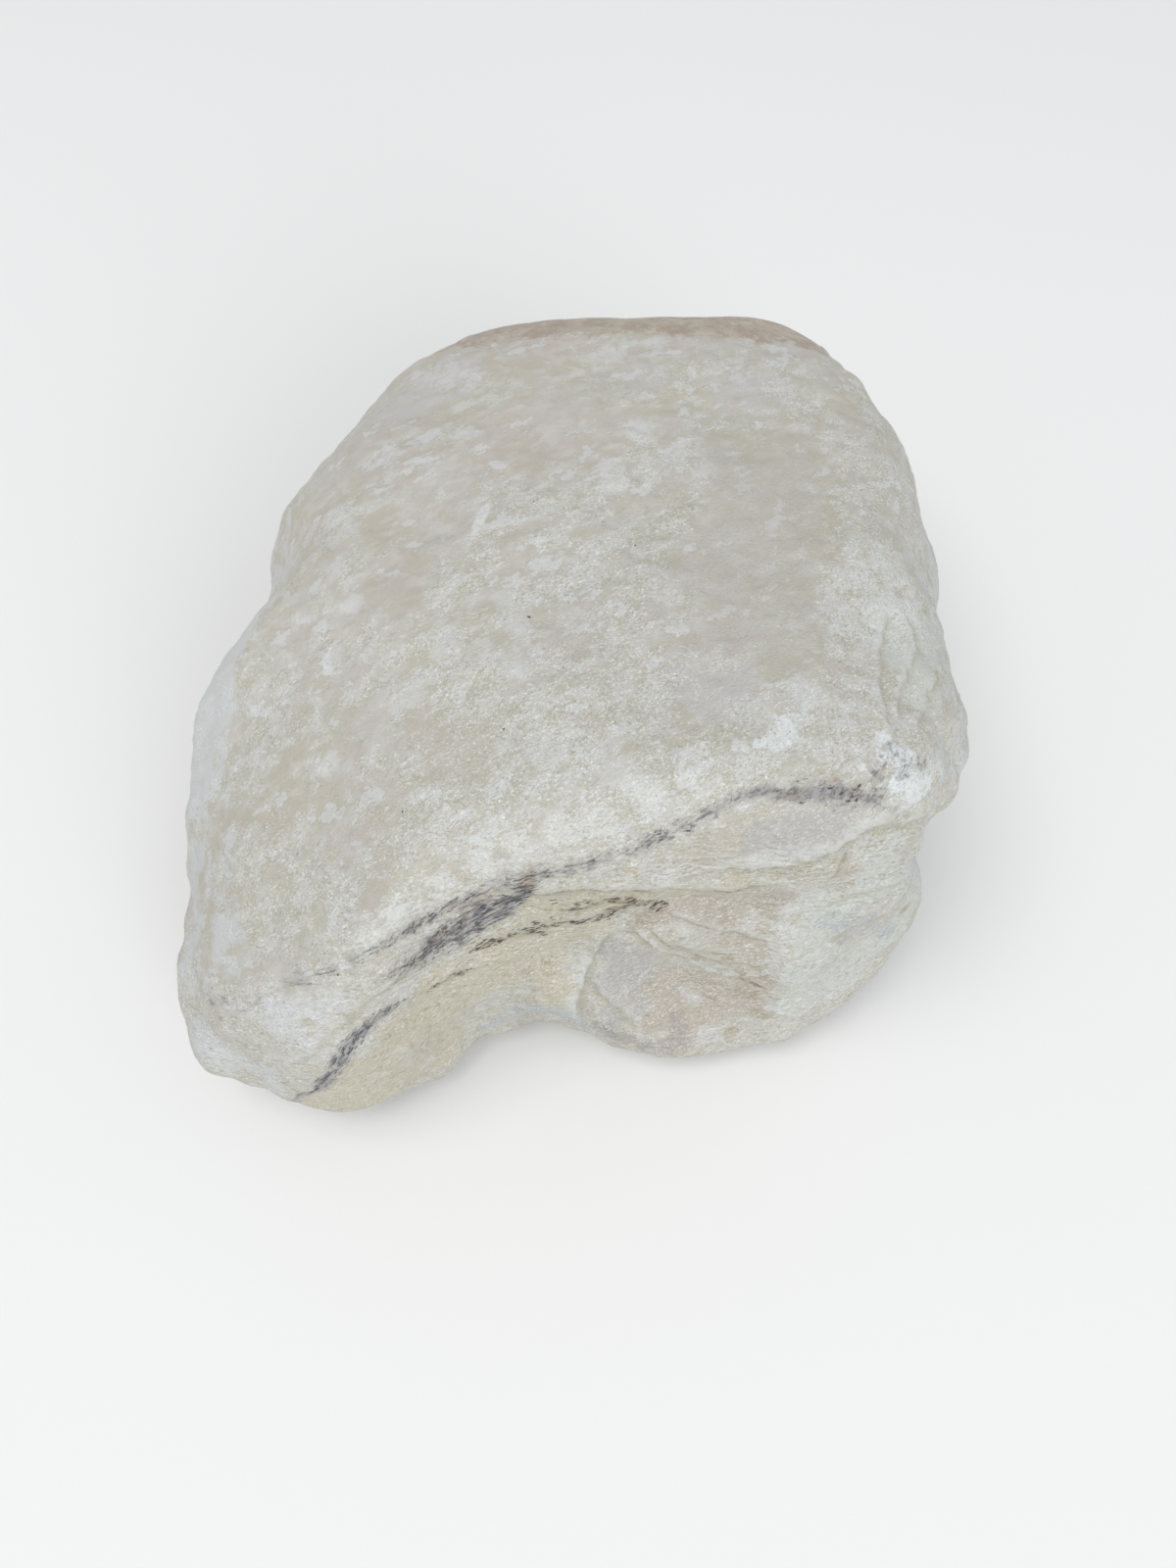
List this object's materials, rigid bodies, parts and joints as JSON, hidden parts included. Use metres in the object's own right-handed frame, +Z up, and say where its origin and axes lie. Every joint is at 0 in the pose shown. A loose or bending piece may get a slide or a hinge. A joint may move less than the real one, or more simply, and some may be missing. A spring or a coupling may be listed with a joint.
{
  "type": "soapstone block",
  "caption": "Rough block of pale soapstone with a domed top, a broken, veined front face and a flat patch underneath to rest on.",
  "frame": {"origin": "middle of the bounding box, on the resting plane", "axes": "+X to the right across the stone, +Y from the broken front face to the rounded back, +Z up"},
  "size_m": [0.279, 0.33, 0.152],
  "materials": {
    "soapstone": "satin"
  },
  "bodies": {
    "root": {"stone": "soapstone"}
  },
  "joints": []
}
